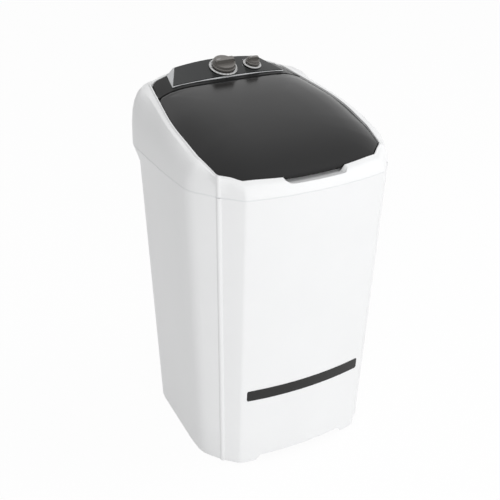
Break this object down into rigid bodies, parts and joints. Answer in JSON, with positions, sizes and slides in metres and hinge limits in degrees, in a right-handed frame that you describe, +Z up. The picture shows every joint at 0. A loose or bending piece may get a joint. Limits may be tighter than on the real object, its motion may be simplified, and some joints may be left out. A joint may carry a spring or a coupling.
{
  "type": "semi-automatic washing machine",
  "caption": "White top-loading semi-automatic washing machine with a bowed front, a smoked dark lid, and a sloping rear console with a timer and a selector knob.",
  "frame": {"origin": "middle of the bounding box, at the floor", "axes": "+Z up, -Y to the front panel, +X to the right side seen from the front"},
  "size_m": [0.536, 0.56, 0.9414],
  "materials": {
    "white_shell": "smooth gloss",
    "white_tub": "smooth",
    "smoked_lid": "dark smoked gloss",
    "dark_deck": "satin",
    "dark_panel": "gloss",
    "dark_strip": "gloss",
    "console_light": "satin silver grey",
    "bezel_silver": "bright satin",
    "knob_grey": "metallic grey",
    "switch_case": "moulded",
    "black_rubber": "matt",
    "galvanised": "zinc plated",
    "bright_steel": "ground",
    "cast_alloy": "die cast",
    "bronze": "sintered",
    "dark_casting": "dark painted casting",
    "motor_steel": "varnished laminations",
    "blue_plastic": "satin",
    "filter_mesh": "moulded grid",
    "grey_hose": "matt",
    "grey_plastic": "moulded"
  },
  "bodies": {
    "washer_body": {"cabinet": "white_shell", "front_strip": "dark_strip", "base_frame": "grey_plastic", "foot_front_left": "black_rubber", "foot_front_right": "black_rubber", "foot_rear_left": "black_rubber", "foot_rear_right": "black_rubber", "wash_tub": "white_tub", "drain_strainer": "bright_steel", "shaft_seal": "black_rubber", "upper_bush": "bronze", "lower_bush": "bronze", "bearing_housing": "cast_alloy", "housing_screws": "galvanised", "drive_belt": "black_rubber", "motor_bracket": "galvanised", "motor_grommets": "black_rubber", "motor_bolts": "galvanised", "motor_top_bell": "cast_alloy", "motor_body": "motor_steel", "motor_bottom_bell": "cast_alloy", "capacitor": "switch_case", "capacitor_clamp": "galvanised", "drain_pipe": "grey_hose", "hose_clamps": "galvanised", "drain_outlet": "grey_plastic", "cord_gland": "black_rubber", "top_cover": "white_shell", "lid_bumpers": "black_rubber", "hinge_bracket_left": "white_tub", "hinge_bracket_right": "white_tub", "rear_deck": "dark_deck", "console_base": "console_light", "console_fascia": "dark_panel", "timer_bezel": "bezel_silver", "timer_body": "switch_case", "selector_bezel": "bezel_silver", "selector_switch": "switch_case"},
    "lid_body": {"lid": "smoked_lid", "hinge_lug_left": "dark_deck", "hinge_lug_right": "dark_deck", "hinge_pin_left": "bright_steel", "hinge_pin_right": "bright_steel"},
    "pulsator_drive": {"pulsator": "blue_plastic", "pulsator_cap": "bright_steel", "drive_shaft": "bright_steel", "driven_pulley": "dark_casting", "pulley_nut": "galvanised"},
    "motor_rotor": {"motor_shaft": "bright_steel", "motor_pulley": "dark_casting"},
    "filter": {"lint_filter": "filter_mesh"},
    "timer": {"timer_knob": "knob_grey"},
    "selector": {"selector_knob": "knob_grey"}
  },
  "joints": [
    {"name": "lid_hinge", "type": "hinge", "parent": "washer_body", "child": "lid_body", "pos_m": [0, 0.127, 0.88123], "axis": [-1, 0, 0], "range_deg": [0, 95]},
    {"name": "pulsator_spin", "type": "hinge", "parent": "washer_body", "child": "pulsator_drive", "pos_m": [0, -0.025, 0.3], "axis": [0, 0, 1], "continuous": true},
    {"name": "motor_spin", "type": "hinge", "parent": "washer_body", "child": "motor_rotor", "pos_m": [0.152, -0.025, 0.2], "axis": [0, 0, 1], "continuous": true},
    {"name": "timer_turn", "type": "hinge", "parent": "washer_body", "child": "timer", "pos_m": [0, 0.19489, 0.91379], "axis": [0, 0.3606, -0.9327], "range_deg": [0, 330]},
    {"name": "selector_turn", "type": "hinge", "parent": "washer_body", "child": "selector", "pos_m": [0.083, 0.19489, 0.91106], "axis": [-0.0656, 0.3256, -0.9432], "range_deg": [0, 120]},
    {"name": "filter_slide", "type": "slide", "parent": "washer_body", "child": "filter", "axis": [0, 0, 1], "range_m": [0, 0.1]}
  ],
  "couplings": [
    {"joint": "motor_spin", "follows": "pulsator_spin", "ratio": 4.9}
  ]
}
